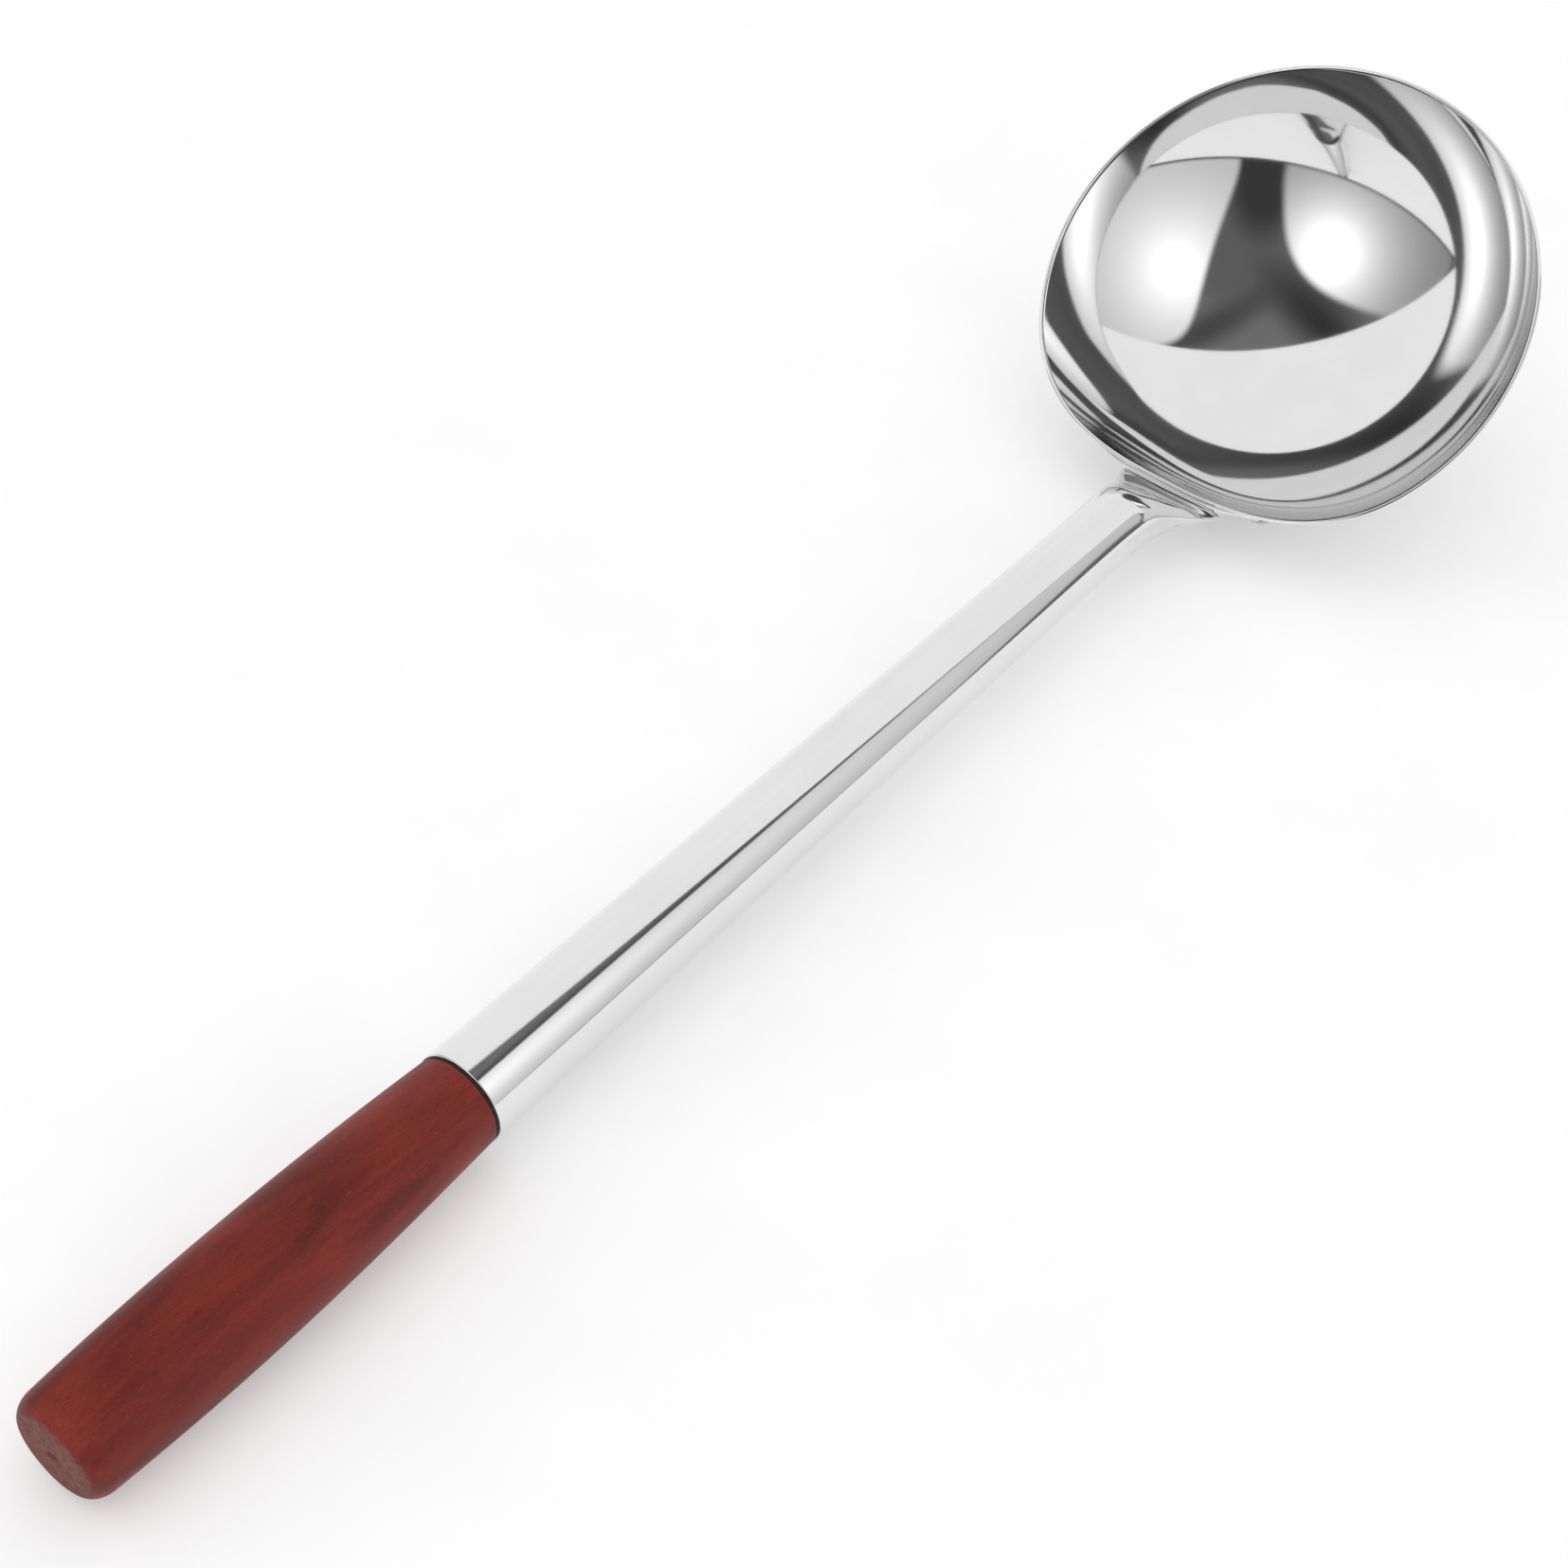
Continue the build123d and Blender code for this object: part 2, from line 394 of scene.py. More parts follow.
def mixed(tree, factor, first, second, blend_type="MIX"):
    node = tree.nodes.new("ShaderNodeMix")
    node.data_type = "RGBA"
    node.blend_type = blend_type
    factor_input, first_input, second_input = node.inputs[0], node.inputs[6], node.inputs[7]
    for socket, value in ((factor_input, factor), (first_input, first), (second_input, second)):
        if isinstance(value, (int, float)):
            socket.default_value = value
        elif isinstance(value, tuple):
            socket.default_value = (*value, 1.0)
        else:
            tree.links.new(value, socket)
    return node.outputs[2]


def bumped(tree, bsdf, height, distance):
    node = tree.nodes.new("ShaderNodeBump")
    node.inputs["Distance"].default_value = distance
    tree.links.new(height, node.inputs["Height"])
    tree.links.new(node.outputs["Normal"], bsdf.inputs["Normal"])


# ---------------------------------------------------------------- materials

STEEL = (0.80, 0.80, 0.80)


def polished_steel(name, line_scale, roughness, line_height):
    """Bright steel: smudges, and polishing lines stretched by line_scale."""
    material, tree, bsdf = shader(name)
    bsdf.inputs["Metallic"].default_value = 1.0
    where = surface_coordinates(tree)
    lines = noise(tree, stretched(tree, where, line_scale), 1.0, 6.0, 0.7)
    smudges = noise(tree, where, 0.035, 4.0, 0.6)
    tint = ranged(tree, smudges, 0.3, 0.7, 0.96, 1.0)
    color = mixed(tree, 1.0, STEEL, tint, "MULTIPLY")
    tree.links.new(color, bsdf.inputs["Base Color"])
    low, high = roughness
    patchy = ranged(tree, smudges, 0.35, 0.7, low, high)
    fine = ranged(tree, lines, 0.3, 0.7, -low / 2, low / 2)
    tree.links.new(combine(tree, "ADD", patchy, fine), bsdf.inputs["Roughness"])
    bumped(tree, bsdf, lines, line_height * MM)
    return material


def weld_steel():
    """Ground weld metal: dull, slightly straw-tinted, with small pits."""
    material, tree, bsdf = shader("weld_steel")
    bsdf.inputs["Metallic"].default_value = 1.0
    where = surface_coordinates(tree)
    tone = noise(tree, where, 0.25, 4.0, 0.6)
    color = ramp(tree, tone, ((0.3, (0.50, 0.48, 0.45)), (0.7, (0.70, 0.70, 0.69))))
    tree.links.new(color, bsdf.inputs["Base Color"])
    pits = noise(tree, where, 2.2, 4.0, 0.65)
    tree.links.new(ranged(tree, pits, 0.3, 0.7, 0.22, 0.42), bsdf.inputs["Roughness"])
    bumped(tree, bsdf, pits, 0.03 * MM)
    return material


def stained_wood():
    """Red-brown stained hardwood: soft mottling, fine grain and open pores, paler rough butt."""
    material, tree, bsdf = shader("stained_wood")
    where = surface_coordinates(tree)
    clouds = noise(tree, stretched(tree, where, (0.10, 0.10, 0.022)), 1.0, 3.0, 0.5, 0.8)
    color = ramp(
        tree,
        clouds,
        (
            (0.32, (0.105, 0.0120, 0.0080)),
            (0.50, (0.165, 0.0170, 0.0100)),
            (0.70, (0.230, 0.0280, 0.0160)),
        ),
    )
    grain = noise(tree, stretched(tree, where, (1.3, 1.3, 0.10)), 1.0, 5.0, 0.7)
    grain_stops = ((0.35, (0.87, 0.84, 0.83)), (0.65, (1.08, 1.08, 1.08)))
    grain_tone = ramp(tree, grain, grain_stops)
    color = mixed(tree, 1.0, color, grain_tone, "MULTIPLY")
    # Pale flecks where the stain has not soaked in, and dark open pores
    flecks = noise(tree, stretched(tree, where, (2.4, 2.4, 0.8)), 1.0, 3.0, 0.65)
    fleck_mask = ranged(tree, flecks, 0.58, 0.74, 0.0, 0.30, smooth=True)
    color = mixed(tree, fleck_mask, color, (0.30, 0.095, 0.075))
    pores = noise(tree, stretched(tree, where, (4.5, 4.5, 0.6)), 1.0, 2.0, 0.5)
    pore_mask = ranged(tree, pores, 0.28, 0.38, 1.0, 0.0, smooth=True)
    half_pores = combine(tree, "MULTIPLY", pore_mask, 0.5)
    color = mixed(tree, half_pores, color, (0.035, 0.006, 0.005))
    # End grain of the butt: drier, paler and rougher, and worn round its edge
    split = tree.nodes.new("ShaderNodeSeparateXYZ")
    tree.links.new(where, split.inputs["Vector"])
    worn = noise(tree, where, 0.9, 4.0, 0.6)
    reach = combine(tree, "ADD", split.outputs["Z"], combine(tree, "MULTIPLY", worn, 0.8))
    butt_start = shoulder + GRIP_LENGTH
    butt = ranged(tree, reach, butt_start - 0.25, butt_start + 0.35, 0.0, 1.0, smooth=True)
    dry = ramp(tree, worn, ((0.35, (0.125, 0.040, 0.034)), (0.65, (0.220, 0.090, 0.078))))
    color = mixed(tree, combine(tree, "MULTIPLY", butt, 0.85), color, dry)
    tree.links.new(color, bsdf.inputs["Base Color"])
    satin = ranged(tree, grain, 0.3, 0.7, 0.40, 0.54)
    rougher = combine(tree, "MULTIPLY", butt, 0.25)
    tree.links.new(combine(tree, "ADD", satin, rougher), bsdf.inputs["Roughness"])
    relief = combine(tree, "SUBTRACT", grain, combine(tree, "MULTIPLY", pore_mask, 0.6))
    torn = combine(tree, "MULTIPLY", combine(tree, "MULTIPLY", butt, worn), 3.0)
    relief = combine(tree, "ADD", relief, torn)
    bumped(tree, bsdf, relief, 0.06 * MM)
    bsdf.inputs["Specular IOR Level"].default_value = 0.22
    return material


def black_glue():
    material, tree, bsdf = shader("black_glue")
    where = surface_coordinates(tree)
    lumps = noise(tree, where, 1.4, 4.0, 0.6)
    color = ramp(tree, lumps, ((0.3, (0.006, 0.005, 0.005)), (0.8, (0.03, 0.022, 0.02))))
    tree.links.new(color, bsdf.inputs["Base Color"])
    tree.links.new(ranged(tree, lumps, 0.3, 0.7, 0.45, 0.7), bsdf.inputs["Roughness"])
    bumped(tree, bsdf, lumps, 0.08 * MM)
    return material


def table_paper():
    """Matt white light table, with the faintest mottling."""
    material, tree, bsdf = shader("table_paper")
    coordinates = tree.nodes.new("ShaderNodeTexCoord").outputs["Object"]
    mottling = noise(tree, coordinates, 14.0, 4.0, 0.6)
    color = ramp(tree, mottling, ((0.3, (0.67, 0.67, 0.67)), (0.7, (0.70, 0.70, 0.70))))
    tree.links.new(color, bsdf.inputs["Base Color"])
    tree.links.new(color, bsdf.inputs["Emission Color"])
    bsdf.inputs["Emission Strength"].default_value = 0.42
    bsdf.inputs["Roughness"].default_value = 0.9
    bsdf.inputs["Specular IOR Level"].default_value = 0.1
    return material


# ---------------------------------------------------------------- bowl


def dent(azimuth, polar):
    """Small unevenness of the pressed wall near the neck, in millimetres."""
    near_neck = np.exp(-((azimuth / 0.75) ** 2)) * np.clip((polar - 0.75) / 0.4, 0.0, 1.0)
    broad = 0.10 * np.sin(9.0 * azimuth + 0.6)
    middling = 0.05 * np.sin(17.0 * azimuth - 1.0 + 6.0 * polar)
    fine = 0.018 * np.sin(27.0 * azimuth + 2.0 - 4.0 * polar)
    return near_neck * (broad + middling + fine)


def bowl_rings():
    """Inner wall from the bottom up, over the rounded rim, and down the outer wall."""
    wall_rings = 110
    azimuth = full_turn(384)
    signed = np.where(azimuth > math.pi, azimuth - 2 * math.pi, azimuth)
    edge_radius = SHEET / 2
    inner_end = polar_at(azimuth, 0.0, -edge_radius)
    outer_end = polar_at(azimuth, SHEET, -edge_radius)
    share = (np.arange(wall_rings) + 1) / wall_rings
    inner = []
    outer = []
    for part in share:
        push = dent(signed, part * inner_end)
        inner.append(wall_point(part * inner_end, azimuth, push))
        outer.append(wall_point(part * outer_end, azimuth, SHEET + push))
    # Rounded edge: half an ellipse from the inner surface over the top to the outer one
    inside, outside = inner[-1], outer[-1]
    middle, half = (inside + outside) / 2, (inside - outside) / 2
    lift = np.array([0.0, 0.0, edge_radius])
    steps = np.linspace(0.0, math.pi, 13)[1:-1]
    edge = [middle + half * math.cos(step) + lift * math.sin(step) for step in steps]
    return np.array(inner + edge + outer[::-1]), azimuth


def make_bowl(rings, azimuth, material):
    depth = np.linalg.norm(rings - np.array([0, 0, ball_height]), axis=2)
    sweep = np.arccos(np.clip((ball_height - rings[:, :, 2]) / depth, -1, 1)) * ball_radius
    around = np.broadcast_to(azimuth, sweep.shape)
    coordinates = np.stack([sweep, np.cos(around) * 10.0, np.sin(around) * 10.0], axis=-1)
    lowest = np.array([1e-4])
    bottom = wall_point(lowest, np.array([0.0]), 0.0)
    under = wall_point(lowest, np.array([0.0]), SHEET)
    return ringed_piece("ladle_bowl", rings, coordinates, material, bottom, under)


# ---------------------------------------------------------------- handle


# Fish-tail: at distances along the handle, how far its upper side is pressed down from the
# cone. Towards the bowl it widens in an S-curve.
PRESSED = ((-12.0, 13.0), (3.0, 13.0), (20.0, 1.6), (24.0, 0.0))
PRESSED_CORNERS = 2.2  # how far each corner of that line is rounded off
WIDENING = 8.0  # the most that each side stands out of the cone
WIDENING_MIDDLE = 7.0  # where it stands out half of that
WIDENING_LENGTH = 10.5
FACET_START = 25.0  # the upper side is round here
FACET_FLAT = 14.0  # and flattest from here to the bowl
FACET_SQUARENESS = 1.0  # added to the section's exponent of 2

# Creases pressed into the upper side: middle (across, along), direction, half length,
# half width and depth
CREASES = (
    ((-2.0, 12.5), (1.0, -0.05), 4.5, 1.2, 0.22),
    ((6.0, 17.0), (0.60, -0.80), 5.5, 1.7, 0.40),
    ((-5.5, 18.5), (-0.65, -0.76), 4.5, 1.7, 0.25),
)
FLARE = 1.8  # how far the skin spreads sideways where it meets the bowl
FLARE_REACH = 2.6
NECK_START = -12.0  # well inside the bowl's wall
NECK_LAST = NECK_END + 6.0  # the neck's finer rings go on this far
SUNK = 0.15  # how far a piece's skin goes on inside what it is welded to


def pressed_down(distance):
    """How far the upper side lies below the cone, with the line's corners rounded off."""
    places, measures = zip(*PRESSED)
    offsets = np.linspace(-PRESSED_CORNERS, PRESSED_CORNERS, 33)
    weights = np.cos(offsets / PRESSED_CORNERS * math.pi / 2) ** 2
    samples = [np.interp(distance + offset, places, measures) for offset in offsets]
    return sum(weight * sample for weight, sample in zip(weights, samples)) / weights.sum()


def widened(distance):
    """How far each side stands out of the cone."""
    return WIDENING / 2 * (1.0 - np.tanh((distance - WIDENING_MIDDLE) / WIDENING_LENGTH))


def crease_depth(sideways, distance):
    total = 0.0
    for (middle_x, middle_s), (toward_x, toward_s), half_length, half_width, depth in CREASES:
        x, s = sideways - middle_x, distance - middle_s
        lengthwise = (x * toward_x + s * toward_s) / half_length
        crosswise = (s * toward_x - x * toward_s) / half_width
        total = total + depth * np.exp(-(lengthwise**2) - crosswise**2)
    return total


def tube_point(distance, angle, inset=0.0, wall_at=None):
    """Point of the tube's skin in the handle frame; angle 0 is the upper side.

    wall_at is the distance at which the bowl's wall stands, for the flare at the joint.
    """
    radius = tube_radius(distance)
    top = radius - pressed_down(distance)
    width = radius + widened(distance)
    flatness = np.clip((FACET_START - distance) / (FACET_START - FACET_FLAT), 0.0, 1.0)
    upper = np.cos(angle) > 0.0
    exponent = np.where(upper, 2.0 + FACET_SQUARENESS * flatness**2 * (3.0 - 2.0 * flatness), 2.0)
    sine, cosine = np.sin(angle), np.cos(angle)
    x = (width - inset) * np.sign(sine) * np.abs(sine) ** (2.0 / exponent)
    height = ((top + radius) / 2 - inset) * np.sign(cosine) * np.abs(cosine) ** (2.0 / exponent)
    if wall_at is not None:
        x = x + FLARE * sine**3 * np.exp(-np.maximum(distance - wall_at, 0.0) / FLARE_REACH)
    y = (top - radius) / 2 + height - np.where(upper, crease_depth(x, distance), 0.0)
    return np.stack([x, y, distance + 0 * angle], axis=-1)


def neck_start(angle, inset=0.0, wall_at=None):
    """Distance along the handle at which the skin comes out of the bowl's outer wall."""
    centre = np.array([0.0, 0.0, ball_height])

    def is_clear(distance):
        out = from_handle(tube_point(distance, angle, inset, wall_at)) - centre
        length = np.linalg.norm(out, axis=1)
        return length > wall_distance(out / length[:, None], SHEET)

    return bisect(is_clear, np.full(angle.shape, NECK_START), np.full(angle.shape, NECK_END))


def make_handle_tube(material):
    """One shell: the outer skin from the bowl to the open end, then the inner skin back."""
    outer_rings = 110  # in the neck, and as many again in the cone
    inner_rings = 40
    angle = full_turn(224)
    bare_start = neck_start(angle)
    start = neck_start(angle, 0.0, bare_start) - SUNK
    rings = []
    for part in np.linspace(0.0, 1.0, outer_rings):
        rings.append(tube_point(start + (NECK_LAST - start) * part, angle, 0.0, bare_start))
    for distance in np.linspace(NECK_LAST, TUBE_END - 0.5, outer_rings)[1:]:
        rings.append(tube_point(distance + 0 * angle, angle))
    # Open end: two rings that keep the cone's shading true up to it, then a slightly eased
    # edge as thick as the sheet
    for back, inset in (
        (0.30, 0.0),
        (0.20, 0.0),
        (0.10, 0.12),
        (0.02, 0.30),
        (0.0, 0.50),
        (0.10, 0.72),
        (0.30, SHEET),
    ):
        rings.append(tube_point(TUBE_END - back + 0 * angle, angle, inset))
    for distance in np.linspace(TUBE_END - 2.0, NECK_LAST, inner_rings):
        rings.append(tube_point(distance + 0 * angle, angle, SHEET))
    inner_start = neck_start(angle, SHEET) - SUNK
    for part in np.linspace(1.0, 0.0, inner_rings)[1:]:
        rings.append(tube_point(inner_start + (NECK_LAST - inner_start) * part, angle, SHEET))
    skin = np.array(rings)
    around = np.broadcast_to(angle, skin.shape[:2])
    coordinates = np.stack([skin[:, :, 2], np.cos(around) * 10.0, np.sin(around) * 10.0], axis=-1)
    return ringed_piece("ladle_handle_tube", from_handle(skin), coordinates, material, loop=True)


def lip_edge(share):
    """Y and Z of the lips' lower edge; share runs from -1 to 1 across them."""
    return LIP_HALF_WIDTH * share, -LIP_DROP - LIP_HEIGHT * np.sqrt(1.0 - share**2)


# The lips are this thick at their ends and that much thicker behind the tube, out to a
# distance to each side, and then thin down over another
LIP_THIN = 0.55
LIP_THICKENING = 1.35
LIP_THICK_HALF_WIDTH = 13.0
LIP_THINNING = 4.0


def make_lips(material):
    """Thin wings of the fish-tail that lie on the bowl's outside, thickest next to the tube."""
    around = full_turn(72)
    outside = np.maximum(np.sin(around), 0.0)
    rings = []
    for share in np.sin(np.linspace(-0.98, 0.98, 90) * math.pi / 2):
        sideways, bottom = lip_edge(share)
        height = -LIP_DROP + (bottom + LIP_DROP) * (1.0 - np.cos(around)) / 2
        past = max(abs(sideways) - LIP_THICK_HALF_WIDTH, 0.0)
        thickness = LIP_THIN + LIP_THICKENING * math.exp(-((past / LIP_THINNING) ** 2))
        # Thinner still at the tips
        thickness *= min(1.0, 3.0 * (1.0 - abs(share)) + 0.35)
        offset = SHEET - SUNK + (thickness + SUNK) * outside**0.45
        rings.append(wall_spot(np.full(around.shape, sideways), height, offset))
    skin = np.array(rings)
    ends = skin[0].mean(axis=0), skin[-1].mean(axis=0)
    return ringed_piece("ladle_handle_lips", skin, skin, material, *ends)


# ---------------------------------------------------------------- grip


def grip_profile():
    """Distances from the shoulder and radii of the turned grip, tenon's tip to butt centre."""
    tip = shoulder - TENON_LENGTH
    gap = SHEET + GLUE_GAP
    points = [(-TENON_LENGTH, 4.0), (-TENON_LENGTH, tube_radius(tip) - gap - TENON_TIP_CHAMFER)]
    for distance in np.linspace(TENON_TIP_CHAMFER - TENON_LENGTH, 0.0, 20):
        points.append((distance, tube_radius(shoulder + distance) - gap))
    # Shoulder, with its corner eased
    for distance, gain in ((0.0, -0.25), (0.12, -0.08), (0.4, 0.05)):
        points.append((distance, GRIP_SHOULDER[1] + gain))
    # The turned profile is the cubic through its four driving stations
    places, radii = zip(GRIP_SHOULDER, GRIP_SWELL, GRIP_BELLY, GRIP_HEEL)
    cubic = np.polyfit(places, radii, 3)
    heel_place, heel_radius = GRIP_HEEL
    for distance in np.arange(1.0, heel_place):
        points.append((distance, float(np.polyval(cubic, distance))))
    for step in np.linspace(0.0, math.pi / 2, 17):
        radius = BUTT_FLAT_RADIUS + (heel_radius - BUTT_FLAT_RADIUS) * math.cos(step)
        points.append((heel_place + (GRIP_LENGTH - heel_place) * math.sin(step), radius))
    for radius in np.linspace(BUTT_FLAT_RADIUS, DIMPLE_RADIUS + 0.2, 12)[1:]:
        points.append((GRIP_LENGTH, float(radius)))
    # Mark of the lathe's centre
    for depth, radius in ((0.1, DIMPLE_RADIUS), (0.5, 0.8), (0.85, 0.3)):
        points.append((GRIP_LENGTH - depth, radius))
    return points


def make_grip(material):
    """The grip with its tenon, turned very slightly out of round where it shows."""
    angle = full_turn(160)
    rings = []
    for distance, radius in grip_profile():
        if distance > 0.0 and radius > 2.0:
            oval = 0.04 * np.sin(2 * angle + distance * 0.05)
            radius = radius + oval + 0.03 * np.sin(3 * angle - distance * 0.08)
        rings.append(circle(shoulder + distance, radius, angle))
    skin = np.array(rings)
    start = from_handle([[0.0, 0.0, shoulder - TENON_LENGTH]])
    end = from_handle([[0.0, 0.0, shoulder + GRIP_LENGTH - DIMPLE_DEPTH]])
    return ringed_piece("ladle_wood_grip", from_handle(skin), skin, material, start, end)


# ---------------------------------------------------------------- glue, welds, pin


BEAD_SETBACK = 0.30  # from the tube's outer edge in to the glue bead's crest


def make_glue(material):
    """Thin sleeve round the tenon, and the uneven bead squeezed out between steel and wood."""
    crest = tube_radius(TUBE_END) - BEAD_SETBACK
    inner = tube_radius(TUBE_END) - SHEET - GLUE_GAP
    deep = TUBE_END - GLUE_DEPTH
    stations = [(deep, tube_radius(deep) - SHEET - GLUE_GAP)]
    for distance in np.linspace(deep, TUBE_END - 0.02, 12):
        stations.append((distance, tube_radius(distance) - SHEET))
    for past, lower in ((0.04, 0.1), (0.15, 0.0), (0.35, 0.0), (0.46, 0.1)):
        stations.append((TUBE_END + past, crest - lower))
    stations += [(TUBE_END + GLUE_LINE, inner), (TUBE_END, inner)]
    angle = full_turn(160)
    skin = np.array([circle(distance, radius, angle) for distance, radius in stations])
    shown = (skin[:, :, 2] > TUBE_END) & (np.hypot(skin[:, :, 0], skin[:, :, 1]) > inner + 0.2)
    uneven = np.where(shown, 0.05 * np.sin(5 * angle) + 0.04 * np.sin(11 * angle + 1.0), 0.0)
    skin[:, :, 0] += uneven * np.sin(angle)
    skin[:, :, 1] += uneven * np.cos(angle)
    return ringed_piece("ladle_grip_adhesive", from_handle(skin), skin, material, loop=True)


def ripples(distance, pitch):
    """Scalloped height of a weld bead, 0 to 1, from the solidified puddles along it."""
    return np.abs(np.sin(math.pi * distance / pitch)) ** 0.6


NECK_BEAD_HALF_WIDTH = 0.95
NECK_BEAD_HEIGHT = 0.75
NECK_BEAD_PITCH = 1.15
NECK_BEAD_SUNK = 0.1
NECK_BEAD_ENDS = 0.12  # radians round the lips' edge left free of weld at each end


def make_neck_weld(material):
    """Rippled bead along the lips' lower edge."""
    around = full_turn(20)
    outside = np.maximum(np.sin(around), 0.0) ** 0.8
    edge_radius = 20.0  # roughly that of the lips' edge, to turn angles into lengths
    rings = []
    for turned in np.linspace(NECK_BEAD_ENDS, math.pi - NECK_BEAD_ENDS, 420):
        bead = 0.82 + 0.18 * float(ripples(turned * edge_radius, NECK_BEAD_PITCH))
        bead += 0.05 * math.sin(turned * 23.0)
        # It is thin where it begins and ends
        from_end = min(turned, math.pi - turned) - NECK_BEAD_ENDS
        size = bead * min(1.0, 0.3 + 12.0 * from_end)
        grow = NECK_BEAD_HALF_WIDTH * (1.0 + size * np.cos(around))
        sideways = -(LIP_HALF_WIDTH + grow) * math.cos(turned)
        drop = -LIP_DROP - (LIP_HEIGHT + grow) * math.sin(turned)
        offset = SHEET - NECK_BEAD_SUNK + (NECK_BEAD_HEIGHT * size + NECK_BEAD_SUNK) * outside
        rings.append(wall_spot(sideways, drop, offset))
    skin = np.array(rings)
    ends = skin[0].mean(axis=0), skin[-1].mean(axis=0)
    return ringed_piece("ladle_neck_weld", skin, skin, material, *ends)


SEAM_BEAD_HALF_WIDTH = 0.52
SEAM_BEAD_HALF_HEIGHT = 0.55
SEAM_BEAD_PITCH = 0.8
SEAM_BEAD_SUNK = 0.40  # its middle lies this far inside the tube's skin


def make_seam_weld(material):
    """Fine ground bead along the underside of the rolled tube."""
    around = full_turn(16)
    rings = []
    for distance in np.arange(SEAM_START, TUBE_END - 0.3, 0.2):
        bead = 0.85 + 0.15 * float(ripples(distance, SEAM_BEAD_PITCH))
        bead += 0.06 * math.sin(distance * 0.9)
        sideways = SEAM_BEAD_HALF_WIDTH * bead * np.sin(around)
        middle = SEAM_BEAD_SUNK - tube_radius(distance)
        height = middle + SEAM_BEAD_HALF_HEIGHT * bead * np.cos(around)
        rings.append(np.stack([sideways, height, distance + 0 * around], axis=-1))
    skin = np.array(rings)
    start, end = from_handle(skin[[0, -1]].mean(axis=1))
    return ringed_piece("ladle_seam_weld", from_handle(skin), skin, material, start, end)


def make_pin(material):
    """Domed pin through the tube's side into the tenon, from its depths and radii."""
    top = -PIN_HEAD_HEIGHT
    profile = [
        (top * math.cos(step), PIN_HEAD_RADIUS * math.sin(step))
        for step in np.linspace(0.15, math.pi / 2, 9)
    ]
    profile += [(0.10, PIN_HEAD_RADIUS - 0.08), (0.12, PIN_RADIUS)]
    profile += [(depth, PIN_RADIUS) for depth in np.linspace(0.5, PIN_LENGTH - 0.4, 10)]
    profile += [(PIN_LENGTH - 0.15, PIN_RADIUS - 0.08), (PIN_LENGTH - 0.05, PIN_RADIUS - 0.25)]
    angle = full_turn(48)
    distance = TUBE_END - PIN_FROM_END
    skin_place = -tube_radius(distance)
    rings = []
    for depth, radius in profile:
        height = radius * np.cos(angle)
        lengthwise = distance + radius * np.sin(angle)
        rings.append(np.stack([skin_place + depth + 0 * angle, height, lengthwise], axis=-1))
    skin = np.array(rings)
    ends = [[skin_place + depth, 0.0, distance] for depth in (top, PIN_LENGTH - 0.05)]
    start, end = from_handle(ends)
    return ringed_piece("ladle_grip_pin", from_handle(skin), skin, material, start, end)


# ---------------------------------------------------------------- studio


def direction(azimuth, elevation):
    azimuth, elevation = math.radians(azimuth), math.radians(elevation)
    return Vector(
        (
            math.cos(elevation) * math.cos(azimuth),
            math.cos(elevation) * math.sin(azimuth),
            math.sin(elevation),
        )
    )


def dotted(tree, vector, axis):
    node = tree.nodes.new("ShaderNodeVectorMath")
    node.operation = "DOT_PRODUCT"
    tree.links.new(vector, node.inputs[0])
    node.inputs[1].default_value = axis
    return node.outputs["Value"]


def panel_mask(tree, vector, place, half_size, softness, corner=2.0, turned=0.0):
    """1 inside a rounded panel in the sky and 0 outside.

    place is (azimuth, elevation) and half_size (width, height), in degrees. corner is the
    outline's exponent: 2 is an ellipse, and more is squarer.
    """
    forward = direction(*place)
    right = forward.cross(Vector((0, 0, 1))).normalized()
    spin = Matrix.Rotation(math.radians(turned), 3, forward)
    up = spin @ right.cross(forward)
    right = spin @ right
    ahead = combine(tree, "MAXIMUM", dotted(tree, vector, forward), 0.02)
    total = None
    for axis, half in zip((right, up), half_size):
        share = combine(tree, "DIVIDE", dotted(tree, vector, axis), ahead)
        share = combine(tree, "DIVIDE", share, math.tan(math.radians(half)))
        share = combine(tree, "ABSOLUTE", share, 0.0)
        share = combine(tree, "POWER", share, corner)
        total = share if total is None else combine(tree, "ADD", total, share)
    radius = combine(tree, "POWER", total, 1 / corner)
    return ranged(tree, radius, 1.0 + softness, 1.0 - softness, 0.0, 1.0, smooth=True)


def hot_spot(tree, vector, place, peak, edge, spread):
    """Brightness that dies away from a lamp's hot spot to its edge value, over spread degrees."""
    angle = combine(tree, "ARCCOSINE", dotted(tree, vector, direction(*place)), 0.0)
    fall = combine(tree, "MULTIPLY", angle, -1.0 / math.radians(spread))
    above_edge = combine(tree, "MULTIPLY", combine(tree, "EXPONENT", fall, 0.0), peak - edge)
    return combine(tree, "ADD", above_edge, edge)


def emitter(name):
    """Material that only gives light, and is never sampled as a lamp."""
    material = bpy.data.materials.new(name)
    material.use_nodes = True
    material.cycles.emission_sampling = "NONE"
    tree = material.node_tree
    tree.nodes.clear()
    glow = tree.nodes.new("ShaderNodeEmission")
    output = tree.nodes.new("ShaderNodeOutputMaterial")
    tree.links.new(glow.outputs["Emission"], output.inputs["Surface"])
    return material, tree, glow.inputs["Color"]


DARK_ROOM = 0.13
# The room is not evenly dark: place, half size, softness and brightness of its patches
ROOM_PATCHES = (
    ((30.0, 74.0), (60.0, 14.0), 0.7, 0.185),
    ((-22.0, 54.0), (28.0, 9.0), 0.9, 0.040),
    ((75.0, 66.0), (30.0, 6.0), 0.9, 0.075),
    ((31.0, 6.0), (14.0, 24.0), 0.5, 0.045),
)
